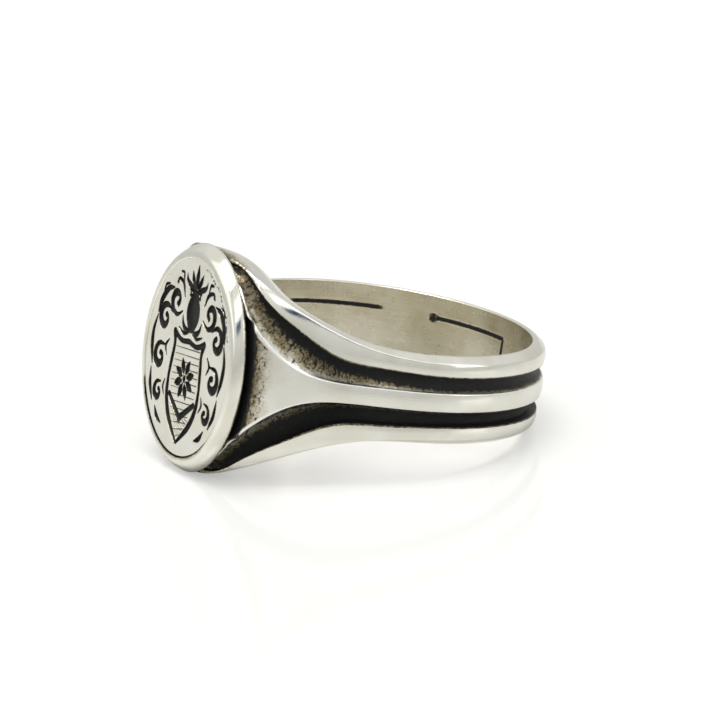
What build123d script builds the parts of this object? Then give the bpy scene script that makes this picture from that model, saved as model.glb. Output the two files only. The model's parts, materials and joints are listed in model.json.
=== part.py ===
"""Signet ring, bench-assembled in silver: an engraved oval seal plate set in a rounded collar, on a
shank of three rails whose outer pair sweeps up to the head and whose centre one spreads into a
dished triangular field on each shoulder.

Frame: millimetres, origin on the finger bore's axis at mid width, +Z along that axis, and the
seal facing -Y. Angles run about +Z from the seal (0) towards +X (90) to the back of the band (180).
The ring is symmetric about both the XY and the YZ plane.
"""

import os
from math import cos, exp, log, pi, radians, sin

from build123d import *

# Band, all in mm
BORE_RADIUS = 9.5
BAND_RADIUS = 10.5
BAND_CREST_RADIUS = 10.35
LIP_HEIGHT = 2.68
CREST_HEIGHT = 2.35
RAIL_FACE = 0.84
CENTRE_RAIL_HALF_WIDTH = 0.55
SEAM_HEIGHT = 1.3
GROOVE_DEPTH = 0.5
GROOVE_WALL_LEAN = 0.1

# Shoulders and head: what each dimension above gains on its way to the seal
LIP_RISE = 2.85
LIP_DIP = 0.45
CREST_RISE = 4.68
CREST_DIP = 0.2
CREST_RADIUS_GAIN = 2.6
SEAM_RISE = 1.6
FIELD_RISE = 5.25
FIELD_START = 10.0
SHOULDER_TANGENT = 66.0
RAIL_FACE_GAIN = 0.5
RAIL_FACE_AT_HEAD = 0.06
HOLLOW_DROP = 1.7
GROOVE_DEPTH_GAIN = 0.45
RAIL_SWELL = 0.15
RAIL_SWELL_GAIN = 0.38
RAIL_SWELL_LOSS = 0.1

# Where those gains lie, in degrees from the seal, and how gradually they come and go
LIP_SPREAD = 36.0
LIP_DIP_ANGLE, LIP_DIP_SPREAD = 21.0, 12.0
CREST_SPREAD = 36.5
CREST_DIP_SPREAD = 8.0
CREST_TURN_ANGLE, CREST_TURN_SPREAD = 34.5, 7.8
SEAM_SPREAD = 34.0
FIELD_SPREAD = 16.2
RAIL_FACE_ANGLE, RAIL_FACE_SPREAD = 44.0, 13.0
THIN_FACE_ANGLE, THIN_FACE_SPREAD = 21.0, 2.8
HOLLOW_DROP_ANGLE, HOLLOW_DROP_SPREAD = 5.0, 2.2
GROOVE_DEPTH_ANGLE, GROOVE_DEPTH_SPREAD = 36.0, 16.0
GROOVE_START_ANGLE, GROOVE_START_SPREAD = 12.0, 2.2
SWELL_SPREAD = 25.0
SWELL_LOSS_ANGLE, SWELL_LOSS_SPREAD = 75.0, 8.0
SHOULDER_SOFTNESS = 6.0
HEAD_REACH = 1.3
HEAD_BLEND = 0.15

# Head, with y distances measured forwards from the bore's axis
NECK_Y = 12.9
FACE_Y = 13.66
COLLAR_FRONT_Y = 13.72
COLLAR_BACK_A, COLLAR_BACK_B = 5.55, 7.1
COLLAR_FRONT_A, COLLAR_FRONT_B = 5.5, 6.7
COLLAR_FRONT_ROUND = 0.25
COLLAR_BACK_ROUND = 0.08
PLATE_A, PLATE_B = 4.85, 6.04
PLATE_THICKNESS = 0.5
BEARING_WIDTH = 0.6
WALL_A, WALL_B = 4.85, 5.9
WALL_THICKNESS = 0.6
HOLLOW_FLOOR_RADIUS = 10.6
FIELD_GAP = 0.35
FIELD_GAP_HALF_HEIGHT = 3.7
HEAD_BACK_ANGLE = 5.0

# Joints
SOLDER = 0.08
BEZEL_JOINT = 0.06
BEZEL_JOINT_RECESS = 0.12

# Sections are lofted every few degrees, from just past the seal to just past the back
STATION_STEP = 6.0
OVERRUN = 6.0
INSIDE = BORE_RADIUS - 0.5
TOOL_INSIDE = BORE_RADIUS - 1.5
OUTSIDE = 18.0
ABOVE = 12.0


def bump(angle, width):
    """1 at angle 0, falling away evenly on both sides."""
    return exp(-((angle / width) ** 2))


def fall(angle, middle, width):
    """1 well before the middle angle, 0 well after it."""
    return 1 / (1 + exp((angle - middle) / width))


def lip_height(angle):
    """Height of the bore's edge."""
    rise = LIP_RISE * bump(angle, LIP_SPREAD)
    return LIP_HEIGHT + rise - LIP_DIP * bump(angle - LIP_DIP_ANGLE, LIP_DIP_SPREAD)


def crest_height(angle):
    """Height of the outer rail's crest, which dips a little where it meets the collar."""
    rise = CREST_RISE * bump(angle, CREST_SPREAD)
    return CREST_HEIGHT + rise - CREST_DIP * bump(angle, CREST_DIP_SPREAD)


def crest_radius(angle):
    return BAND_CREST_RADIUS + CREST_RADIUS_GAIN * fall(angle, CREST_TURN_ANGLE, CREST_TURN_SPREAD)


def groove_edge(angle):
    """Height of the groove's upper edge, at the foot of the outer rail's side face.

    The face thins to a fine line beside the head, then drops below the head's hollow.
    """
    shoulder = RAIL_FACE + RAIL_FACE_GAIN * bump(angle - RAIL_FACE_ANGLE, RAIL_FACE_SPREAD)
    thinning = (RAIL_FACE - RAIL_FACE_AT_HEAD) * fall(angle, THIN_FACE_ANGLE, THIN_FACE_SPREAD)
    drop = HOLLOW_DROP * fall(angle, HOLLOW_DROP_ANGLE, HOLLOW_DROP_SPREAD)
    return crest_height(angle) - (shoulder - thinning + drop)


def seam_height(angle):
    """Height at which the joint between an outer rail and the centre band reaches the bore."""
    return SEAM_HEIGHT + SEAM_RISE * bump(angle, SEAM_SPREAD)


def field_height(angle):
    """Half height of the centre rail, which spreads into the shoulder's field."""
    return CENTRE_RAIL_HALF_WIDTH + FIELD_RISE * bump(max(angle - FIELD_START, 0), FIELD_SPREAD)


def outline(angle):
    """Radius of the shank at mid width: the band's circle, then a tangent line to the head."""
    turn = SHOULDER_SOFTNESS * log(1 + exp((SHOULDER_TANGENT - angle) / SHOULDER_SOFTNESS))
    tangent = BAND_RADIUS / cos(radians(turn))
    front = (NECK_Y + HEAD_REACH) / cos(radians(min(angle, 60)))
    return min(tangent, front) - HEAD_BLEND * log(1 + exp(-abs(tangent - front) / HEAD_BLEND))


def surface(angle, height):
    """Radius of the shank's outer surface."""
    across = height / crest_height(angle)
    return outline(angle) - (outline(angle) - crest_radius(angle)) * across**2


def groove_corner(angle):
    """Radius and height of the groove's deepest line."""
    height = groove_edge(angle) - GROOVE_WALL_LEAN
    depth = GROOVE_DEPTH + GROOVE_DEPTH_GAIN * bump(angle - GROOVE_DEPTH_ANGLE, GROOVE_DEPTH_SPREAD)
    started = 1 - fall(angle, GROOVE_START_ANGLE, GROOVE_START_SPREAD)
    return surface(angle, height) - depth * started, height


def rail_top(angle, share):
    """Point on the outer rail's top, from the bore's edge (share 0) to the crest (share 1)."""
    lip, crest = lip_height(angle), crest_height(angle)
    swell = RAIL_SWELL + RAIL_SWELL_GAIN * bump(angle, SWELL_SPREAD)
    swell -= RAIL_SWELL_LOSS * fall(angle, SWELL_LOSS_ANGLE, SWELL_LOSS_SPREAD)
    radius = BORE_RADIUS + share * (crest_radius(angle) - BORE_RADIUS)
    return radius, lip + (crest - lip) * share + swell * sin(pi * share**0.8)


def station_plane(angle):
    """The plane through the bore's axis at this angle: local x is the radius, local y is +Z."""
    s, c = sin(radians(angle)), cos(radians(angle))
    return Plane(origin=(0, 0, 0), x_dir=(s, -c, 0), z_dir=(-c, -s, 0))


def stations():
    """Plane and angle from the seal of every section of one half of the ring."""
    count = round((180 + 2 * OVERRUN) / STATION_STEP)
    for index in range(count + 1):
        angle = index * STATION_STEP - OVERRUN
        yield station_plane(angle), 180 - abs(180 - abs(angle))


def export(piece, name):
    piece.part.label = name
    export_step(piece.part, f"parts/{name}.step")


os.makedirs("parts", exist_ok=True)

# Cutting tools -------------------------------------------------------------------------------

with BuildPart() as bore:
    Cylinder(BORE_RADIUS, 2 * ABOVE)

# Everything above the joint between the upper rail and the centre band. It follows the joint from
# the bore out to the groove's deepest line and then leaves through the open groove.
with BuildPart() as above_joint:
    for plane, angle in stations():
        floor_r, floor_z = groove_corner(angle)
        slope = (floor_z - seam_height(angle)) / (floor_r - BORE_RADIUS)
        start_z = seam_height(angle) - slope * (BORE_RADIUS - TOOL_INSIDE)
        with BuildSketch(plane):
            Polygon(
                (TOOL_INSIDE, start_z),
                (floor_r, floor_z),
                (OUTSIDE, floor_z),
                (OUTSIDE, ABOVE),
                (TOOL_INSIDE, ABOVE),
                align=None,
            )
    loft()

# The head's hollow, an oval prism that stops at the floor around the bore.
with BuildPart() as hollow:
    with BuildSketch(Plane.XZ.offset(NECK_Y)):
        Ellipse(WALL_A, WALL_B)
    extrude(amount=-NECK_Y)
    Cylinder(HOLLOW_FLOOR_RADIUS, 2 * ABOVE, mode=Mode.SUBTRACT)

with BuildPart() as before_neck:
    with Locations((0, -NECK_Y, 0)):
        Box(4 * ABOVE, OUTSIDE, 2 * ABOVE, align=(Align.CENTER, Align.MAX, Align.CENTER))

# Shank ---------------------------------------------------------------------------------------

with BuildPart() as upper_rail:
    for plane, angle in stations():
        floor_r, floor_z = groove_corner(angle)
        edge_z = groove_edge(angle)
        edge_r = surface(angle, edge_z) - 0.03
        crest_r, crest_z = rail_top(angle, 1)
        with BuildSketch(plane):
            with BuildLine():
                Polyline(
                    (edge_r, edge_z),
                    (floor_r, floor_z),
                    (floor_r, floor_z - 0.4),
                    (INSIDE, seam_height(angle) - 0.4),
                    (INSIDE, lip_height(angle)),
                    rail_top(angle, 0),
                )
                Spline(*[rail_top(angle, share) for share in (0, 0.2, 0.45, 0.7, 1)])
                Spline(
                    (crest_r, crest_z),
                    ((crest_r + edge_r) / 2 + 0.06, (crest_z + edge_z) / 2),
                    (edge_r, edge_z),
                )
            make_face()
    loft()
    add(above_joint.part.moved(Location((0, 0, SOLDER / 2))), mode=Mode.INTERSECT)
    add(bore.part, mode=Mode.SUBTRACT)
    add(hollow.part, mode=Mode.SUBTRACT)
    add(before_neck.part, mode=Mode.SUBTRACT)
    split(bisect_by=Plane.YZ)
    mirror(about=Plane.YZ)
export(upper_rail, "upper_rail")

with BuildPart() as lower_rail:
    mirror(upper_rail.part, about=Plane.XY)
export(lower_rail, "lower_rail")

# Thin strips of solder between the outer rails and the centre band.
with BuildPart() as upper_joint:
    for plane, angle in stations():
        floor_r, floor_z = groove_corner(angle)
        seam_z = seam_height(angle)
        with BuildSketch(plane):
            Polygon(
                (INSIDE, seam_z - 0.45),
                (floor_r - 0.04, floor_z - 0.45),
                (floor_r - 0.04, floor_z + 0.45),
                (INSIDE, seam_z + 0.45),
                align=None,
            )
    loft()
    add(above_joint.part.moved(Location((0, 0, -SOLDER / 2))), mode=Mode.INTERSECT)
    add(above_joint.part.moved(Location((0, 0, SOLDER / 2))), mode=Mode.SUBTRACT)
    add(bore.part, mode=Mode.SUBTRACT)
    add(hollow.part, mode=Mode.SUBTRACT)
    add(before_neck.part, mode=Mode.SUBTRACT)
    split(bisect_by=Plane.YZ)
    mirror(about=Plane.YZ)
export(upper_joint, "upper_joint_solder")

with BuildPart() as lower_joint:
    mirror(upper_joint.part, about=Plane.XY)
export(lower_joint, "lower_joint_solder")

# The centre band and the head's back are cut from one strip, closed above and below by the joints.
with BuildPart() as centre_strip:
    for plane, angle in stations():
        floor_r, floor_z = groove_corner(angle)
        field_z = min(field_height(angle), floor_z - 0.25)
        field_r = surface(angle, field_z)
        crown = 0.06 - 0.14 * bump(angle - 26, 12)
        flank = [
            (floor_r + rise * (field_r - floor_r), floor_z + run * (field_z - floor_z))
            for run, rise in ((0, 0), (0.45, 0.12), (0.8, 0.55), (1, 1))
        ]
        with BuildSketch(plane):
            with BuildLine():
                Polyline(
                    (floor_r, -floor_z),
                    (floor_r, -floor_z - 0.3),
                    (INSIDE, -seam_height(angle) - 0.3),
                    (INSIDE, seam_height(angle) + 0.3),
                    (floor_r, floor_z + 0.3),
                    (floor_r, floor_z),
                )
                Spline(*flank)
                Spline((field_r, field_z), (surface(angle, 0) + crown, 0), (field_r, -field_z))
                Spline(*[(r, -z) for r, z in reversed(flank)])
            make_face()
    loft()
    clear_above = above_joint.part.moved(Location((0, 0, -SOLDER / 2)))
    add(clear_above, mode=Mode.SUBTRACT)
    add(mirror(clear_above, about=Plane.XY, mode=Mode.PRIVATE), mode=Mode.SUBTRACT)
    add(bore.part, mode=Mode.SUBTRACT)
    split(bisect_by=Plane.YZ)

# The wedge behind the seal that belongs to the head's back rather than to the centre band.
with BuildPart() as behind_seal:
    with BuildSketch():
        Polygon(
            (0, 0),
            (OUTSIDE * sin(radians(HEAD_BACK_ANGLE)), -OUTSIDE * cos(radians(HEAD_BACK_ANGLE))),
            (0, -OUTSIDE),
            align=None,
        )
    extrude(amount=ABOVE, both=True)
    Cylinder(HOLLOW_FLOOR_RADIUS, 2 * ABOVE, mode=Mode.INTERSECT)

with BuildPart() as centre_band_right:
    add(centre_strip.part)
    add(behind_seal.part, mode=Mode.SUBTRACT)
    add(hollow.part, mode=Mode.SUBTRACT)
    add(before_neck.part, mode=Mode.SUBTRACT)
    with Locations((0, -NECK_Y + FIELD_GAP, 0)):
        Box(
            4 * ABOVE,
            OUTSIDE,
            2 * FIELD_GAP_HALF_HEIGHT,
            align=(Align.CENTER, Align.MAX, Align.CENTER),
            mode=Mode.SUBTRACT,
        )
    with Locations((0, BORE_RADIUS, 0)):
        Box(SOLDER, 4, 2 * ABOVE, mode=Mode.SUBTRACT)
export(centre_band_right, "centre_band_right")

with BuildPart() as centre_band_left:
    mirror(centre_band_right.part, about=Plane.YZ)
export(centre_band_left, "centre_band_left")

with BuildPart() as back_joint:
    with Locations((0, BORE_RADIUS + 0.5, 0)):
        Box(SOLDER, 2, 2 * ABOVE)
    add(centre_strip.part, mode=Mode.INTERSECT)
    add(bore.part, mode=Mode.SUBTRACT)
    mirror(about=Plane.YZ)
export(back_joint, "back_joint_solder")

# Head ----------------------------------------------------------------------------------------

with BuildPart() as head_back:
    add(centre_strip.part)
    add(behind_seal.part, mode=Mode.INTERSECT)
    add(hollow.part, mode=Mode.SUBTRACT)
    add(before_neck.part, mode=Mode.SUBTRACT)
    mirror(about=Plane.YZ)
export(head_back, "head_back")

with BuildPart() as head_wall:
    add(hollow.part)
    with BuildSketch(Plane.XZ.offset(NECK_Y)):
        Ellipse(WALL_A - WALL_THICKNESS, WALL_B - WALL_THICKNESS)
    extrude(amount=-NECK_Y, mode=Mode.SUBTRACT)
export(head_wall, "head_wall")

with BuildPart() as bezel_collar:
    with BuildSketch(Plane.XZ.offset(NECK_Y)):
        Ellipse(COLLAR_BACK_A, COLLAR_BACK_B)
    with BuildSketch(Plane.XZ.offset(COLLAR_FRONT_Y)):
        Ellipse(COLLAR_FRONT_A, COLLAR_FRONT_B)
    loft()
    fillet(edges().sort_by(Axis.Y)[0], COLLAR_FRONT_ROUND)
    fillet(edges().sort_by(Axis.Y)[-1], COLLAR_BACK_ROUND)
    with BuildSketch(Plane.XZ.offset(NECK_Y)):
        Ellipse(PLATE_A + BEZEL_JOINT, PLATE_B + BEZEL_JOINT)
    extrude(amount=COLLAR_FRONT_Y, mode=Mode.SUBTRACT)
export(bezel_collar, "bezel_collar")

with BuildPart() as bearing_ring:
    with BuildSketch(Plane.XZ.offset(NECK_Y)):
        Ellipse(PLATE_A + BEZEL_JOINT, PLATE_B + BEZEL_JOINT)
        Ellipse(PLATE_A - BEARING_WIDTH, PLATE_B - BEARING_WIDTH, mode=Mode.SUBTRACT)
    extrude(amount=FACE_Y - PLATE_THICKNESS - NECK_Y)
export(bearing_ring, "bearing_ring")

with BuildPart() as bezel_joint:
    with BuildSketch(Plane.XZ.offset(FACE_Y - BEZEL_JOINT_RECESS)):
        Ellipse(PLATE_A + BEZEL_JOINT, PLATE_B + BEZEL_JOINT)
        Ellipse(PLATE_A, PLATE_B, mode=Mode.SUBTRACT)
    extrude(amount=BEZEL_JOINT_RECESS - PLATE_THICKNESS)
export(bezel_joint, "bezel_joint_solder")

with BuildPart() as seal_plate:
    with BuildSketch(Plane.XZ.offset(FACE_Y)):
        Ellipse(PLATE_A, PLATE_B)
    extrude(amount=-PLATE_THICKNESS)
export(seal_plate, "seal_plate")
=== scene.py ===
"""Signet ring in blackened silver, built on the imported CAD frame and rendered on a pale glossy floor.

Every piece is a mesh in the CAD's own frame: origin on the finger bore's axis at mid width, +Z along
it, the seal facing -Y. Angles run about +Z from the seal (0) towards +X (90) to the band's back (180).
Shapes are worked out in millimetres and written to the meshes in metres.
"""

import json
import math

import bpy
import numpy as np
from mathutils import Matrix, Vector


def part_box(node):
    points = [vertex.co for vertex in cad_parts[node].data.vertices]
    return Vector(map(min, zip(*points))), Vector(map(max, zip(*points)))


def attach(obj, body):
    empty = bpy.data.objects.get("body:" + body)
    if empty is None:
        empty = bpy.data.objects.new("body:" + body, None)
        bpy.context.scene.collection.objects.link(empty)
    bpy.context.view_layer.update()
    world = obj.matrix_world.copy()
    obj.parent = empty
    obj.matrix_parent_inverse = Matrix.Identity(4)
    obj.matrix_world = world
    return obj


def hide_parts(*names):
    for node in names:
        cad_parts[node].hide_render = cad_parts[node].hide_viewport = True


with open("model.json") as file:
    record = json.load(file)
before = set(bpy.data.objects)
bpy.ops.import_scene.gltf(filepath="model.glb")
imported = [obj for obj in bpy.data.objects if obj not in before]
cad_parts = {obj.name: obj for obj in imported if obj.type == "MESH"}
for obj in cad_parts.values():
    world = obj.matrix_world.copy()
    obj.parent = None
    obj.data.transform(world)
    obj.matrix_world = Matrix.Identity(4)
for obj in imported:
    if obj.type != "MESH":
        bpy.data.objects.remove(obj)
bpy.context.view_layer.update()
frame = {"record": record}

MM = 0.001

# Sizes from the frame -----------------------------------------------------------------------


def box_mm(node):
    """A CAD node's lowest and highest corner, in millimetres."""
    low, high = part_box(node)
    return [value / MM for value in low], [value / MM for value in high]


mounts = {mount["name"]: mount for mount in frame["record"]["mounts"]}
collar_low, collar_high = box_mm("bezel_collar")
plate_low, plate_high = box_mm("seal_plate")
wall_high = box_mm("head_wall")[1]
ring_high = box_mm("bearing_ring")[1]
band_high = box_mm("centre_band_right")[1]

BORE = mounts["finger_bore"]["dims"]["r_mm"]
NECK_Y = -collar_high[1]
COLLAR_FRONT_Y = -collar_low[1]
COLLAR_A, COLLAR_B = collar_high[0], collar_high[2]
FACE_Y = -plate_low[1]
PLATE_BACK_Y = -plate_high[1]
PLATE_A, PLATE_B = plate_high[0], plate_high[2]
RING_A, RING_B = ring_high[0], ring_high[2]
WALL_A, WALL_B = wall_high[0], wall_high[2]

# Shape of the shank, as in the CAD ----------------------------------------------------------

BAND_CROWN = 0.06
BAND_RADIUS = band_high[1] - BAND_CROWN
BAND_CREST_RADIUS = 10.35
LIP_HEIGHT = 2.68
CREST_HEIGHT = 2.35
RAIL_FACE = 0.84
CENTRE_HALF_WIDTH = 0.55
SEAM_HEIGHT = 1.3
GROOVE_DEPTH = 0.5
GROOVE_WALL_LEAN = 0.1
SOLDER = 0.08
WALL_THICKNESS = 0.6
HOLLOW_FLOOR = 10.6
BEARING_WIDTH = 0.6
HEAD_BACK_ANGLE = 5.0
FIELD_GAP = 0.35
FIELD_GAP_HALF_HEIGHT = 3.7

# What each of those gains on its way to the seal
LIP_RISE = 2.85
LIP_DIP = 0.45
CREST_RISE = 4.68
CREST_DIP = 0.2
CREST_RADIUS_GAIN = 2.6
SEAM_RISE = 1.6
FIELD_RISE = 5.25
RAIL_FACE_GAIN = 0.5
RAIL_FACE_AT_HEAD = 0.06
HOLLOW_DROP = 1.7
GROOVE_DEPTH_GAIN = 0.45
RAIL_SWELL = 0.15
RAIL_SWELL_GAIN = 0.38
RAIL_SWELL_LOSS = 0.1
SHOULDER_TANGENT, SHOULDER_SOFTNESS = 66, 6.0
HEAD_REACH, HEAD_BLEND = 1.3, 0.15


def bump(angle, width):
    """1 at angle 0, falling away evenly on both sides."""
    return np.exp(-((angle / width) ** 2))


def fall(angle, middle, width):
    """1 well before the middle angle, 0 well after it."""
    return 1 / (1 + np.exp((angle - middle) / width))


def smooth_step(value, low, high):
    share = np.clip((value - low) / (high - low), 0, 1)
    return share * share * (3 - 2 * share)


def lip_height(angle):
    """Height of the bore's edge."""
    return LIP_HEIGHT + LIP_RISE * bump(angle, 36) - LIP_DIP * bump(angle - 21, 12)


def crest_height(angle):
    """Height of the outer rail's crest, which dips a little where it meets the collar."""
    return CREST_HEIGHT + CREST_RISE * bump(angle, 36.5) - CREST_DIP * bump(angle, 8)


def crest_radius(angle):
    return BAND_CREST_RADIUS + CREST_RADIUS_GAIN * fall(angle, 34.5, 7.8)


def groove_edge(angle):
    """Height of the groove's upper edge, at the foot of the outer rail's side face."""
    shoulder = RAIL_FACE + RAIL_FACE_GAIN * bump(angle - 44, 13)
    thinning = (RAIL_FACE - RAIL_FACE_AT_HEAD) * fall(angle, 21, 2.8)
    return crest_height(angle) - (shoulder - thinning + HOLLOW_DROP * fall(angle, 5, 2.2))


def seam_height(angle):
    """Height at which the joint between an outer rail and the centre band reaches the bore."""
    return SEAM_HEIGHT + SEAM_RISE * bump(angle, 34)


def field_height(angle):
    """Half height of the centre rail, which spreads into the shoulder's field."""
    return CENTRE_HALF_WIDTH + FIELD_RISE * bump(np.maximum(angle - 10, 0), 16.2)


def outline(angle):
    """Radius of the shank at mid width: the band's circle, then a tangent line to the head."""
    turn = SHOULDER_SOFTNESS * np.log1p(np.exp((SHOULDER_TANGENT - angle) / SHOULDER_SOFTNESS))
    tangent = BAND_RADIUS / np.cos(np.radians(turn))
    front = (NECK_Y + HEAD_REACH) / np.cos(np.radians(np.minimum(angle, 60)))
    return np.minimum(tangent, front) - HEAD_BLEND * np.log1p(np.exp(-abs(tangent - front) / HEAD_BLEND))


def surface(angle, height):
    """Radius of the shank's outer surface."""
    across = height / crest_height(angle)
    return outline(angle) - (outline(angle) - crest_radius(angle)) * across**2


def groove_corner(angle):
    """Radius and height of the groove's deepest line."""
    height = groove_edge(angle) - GROOVE_WALL_LEAN
    depth = GROOVE_DEPTH + GROOVE_DEPTH_GAIN * bump(angle - 36, 16)
    return surface(angle, height) - depth * (1 - fall(angle, 12, 2.2)), height


def rail_top(angle, share):
    """Point on an outer rail's top, from the bore's edge (share 0) to the crest (share 1)."""
    lip, crest = lip_height(angle), crest_height(angle)
    swell = RAIL_SWELL + RAIL_SWELL_GAIN * bump(angle, 25) - RAIL_SWELL_LOSS * fall(angle, 75, 8)
    radius = BORE + share * (crest_radius(angle) - BORE)
    return radius, lip + (crest - lip) * share + swell * np.sin(np.pi * share**0.8)


# Mesh helpers -------------------------------------------------------------------------------


def rounded(corners, steps=5):
    """A closed profile from corners (radius, height, rounding), each an array over the stations.

    Returns an array (stations, points, 2). A corner with rounding 0 stays a single point.
    """
    points = [np.stack(np.broadcast_arrays(r, z), -1) for r, z, _ in corners]
    out = []
    for index, (_, _, rounding) in enumerate(corners):
        here = points[index]
        if not np.any(rounding):
            out.append(here)
            continue
        ends = []
        for other in (points[index - 1], points[(index + 1) % len(points)]):
            way = other - here
            length = np.linalg.norm(way, axis=-1, keepdims=True)
            ends.append(here + way * np.minimum(rounding / np.maximum(length, 1e-6), 0.48))
        for share in np.linspace(0, 1, steps):
            out.append(ends[0] * (1 - share) ** 2 + 2 * share * (1 - share) * here + ends[1] * share**2)
    return np.stack(out, 1)


def make_piece(name, vertices, faces, masks=None, sharp=40):
    """A smooth-shaded mesh from millimetres, with one float attribute for each mask.

    Faces keep the winding they are given, and on nine of the pieces some or all point inwards.
    """
    mesh = bpy.data.meshes.new(name)
    mesh.from_pydata((np.asarray(vertices) * MM).tolist(), [], faces)
    mesh.validate()
    mesh.polygons.foreach_set("use_smooth", [True] * len(mesh.polygons))
    mesh.set_sharp_from_angle(angle=math.radians(sharp))
    for key, values in (masks or {}).items():
        attribute = mesh.attributes.new(key, "FLOAT", "POINT")
        attribute.data.foreach_set("value", np.asarray(values, dtype=np.float32).ravel())
    mesh.update()
    piece = bpy.data.objects.new(name, mesh)
    bpy.context.scene.collection.objects.link(piece)
    return piece


def grid_faces(rows, columns, wrap_rows, wrap_columns):
    """Quads over a grid of vertices numbered row by row."""
    row = np.arange(rows if wrap_rows else rows - 1)
    column = np.arange(columns if wrap_columns else columns - 1)
    row, column = [part.ravel() for part in np.meshgrid(row, column, indexing="ij")]
    next_row, next_column = (row + 1) % rows, (column + 1) % columns
    corners = [(row, column), (row, next_column), (next_row, next_column), (next_row, column)]
    return np.stack([r * columns + c for r, c in corners], -1).tolist()


def swept(name, angles, profile, masks=None, closed=False, flip=False):
    """A piece swept round the bore's axis: profile is (stations, points, 2) of radius and height."""
    turn = np.radians(angles)[:, None]
    radius, height = profile[..., 0], profile[..., 1]
    vertices = np.stack([radius * np.sin(turn), -radius * np.cos(turn), height], -1)
    stations, count = radius.shape
    faces = grid_faces(stations, count, closed, True)
    if not closed:
        faces.append(list(range(count))[::-1])
        faces.append([(stations - 1) * count + index for index in range(count)])
    if flip:
        faces = [face[::-1] for face in faces]
    return make_piece(name, vertices.reshape(-1, 3), faces, masks)


def oval_swept(name, profile, steps=288, masks=None):
    """A piece swept round the seal's axis. Profile points are (a, b, y): half axes and distance.

    Any of the three may be a column with one value for each station.
    """
    turn = np.linspace(0, 2 * np.pi, steps, endpoint=False)[:, None]
    a, b, y = [np.concatenate([point[axis] + 0 * turn for point in profile], 1) for axis in range(3)]
    vertices = np.stack([a * np.cos(turn), -y, b * np.sin(turn)], -1)
    faces = grid_faces(steps, len(profile), True, True)
    return make_piece(name, vertices.reshape(-1, 3), faces, masks)


# Shank --------------------------------------------------------------------------------------

FULL_TURN = np.arange(0, 360, 0.5)
BACK_ANGLE = math.degrees(math.asin(SOLDER / 2 / BORE))


def from_seal(angles):
    """The angle from the seal, whichever side of the ring it is on."""
    return 180 - abs(180 - np.mod(angles, 360))


def neck_trim(profile, angles, gap=0.0):
    """Keeps a profile behind the neck, and further back by the gap beside the middle of the seal."""
    fade = smooth_step(abs(profile[..., 1]), FIELD_GAP_HALF_HEIGHT - 0.15, FIELD_GAP_HALF_HEIGHT + 0.15)
    front = NECK_Y - gap * (1 - fade)
    reach = front / np.maximum(np.cos(np.radians(angles)), 0.05)[:, None]
    profile[..., 0] = np.minimum(profile[..., 0], reach)
    return profile


def keep_out_of_hollow(piece, axis):
    """Moves the vertices that lie in the head's hollow straight on to its wall, along one axis.

    It moves vertices only. The centre bands still overlap the head wall by about 16 mm3 each.
    """
    count = len(piece.data.vertices)
    places = np.empty(count * 3)
    piece.data.vertices.foreach_get("co", places)
    places = places.reshape(-1, 3) / MM
    x, y, z = places.T
    in_oval = (x / WALL_A) ** 2 + (z / WALL_B) ** 2 < 1
    inside = (np.hypot(x, y) > HOLLOW_FLOOR + 1e-3) & in_oval & (y < 0)
    if axis == 0:
        wall = WALL_A * np.sqrt(np.clip(1 - (z / WALL_B) ** 2, 0, 1)) * np.sign(x)
    else:
        wall = WALL_B * np.sqrt(np.clip(1 - (x / WALL_A) ** 2, 0, 1)) * np.sign(z)
    places[inside, axis] = wall[inside]
    piece.data.vertices.foreach_set("co", (places * MM).ravel())
    piece.data.update()


def seam_blob(angles):
    """A wider dark spot at the end of the first open stretch."""
    return bump(np.mod(angles, 360) - 215, 1.6)


def seam_black(angles):
    """How dark the joints are where they reach the bore: open only along parts of the -X side."""
    turn = np.mod(angles, 360)
    first = smooth_step(turn, 179.4, 180) * (1 - smooth_step(turn, 212, 217))
    second = smooth_step(turn, 234, 238) * (1 - smooth_step(turn, 270, 278))
    return np.maximum(np.maximum(first, second), seam_blob(angles))


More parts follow.
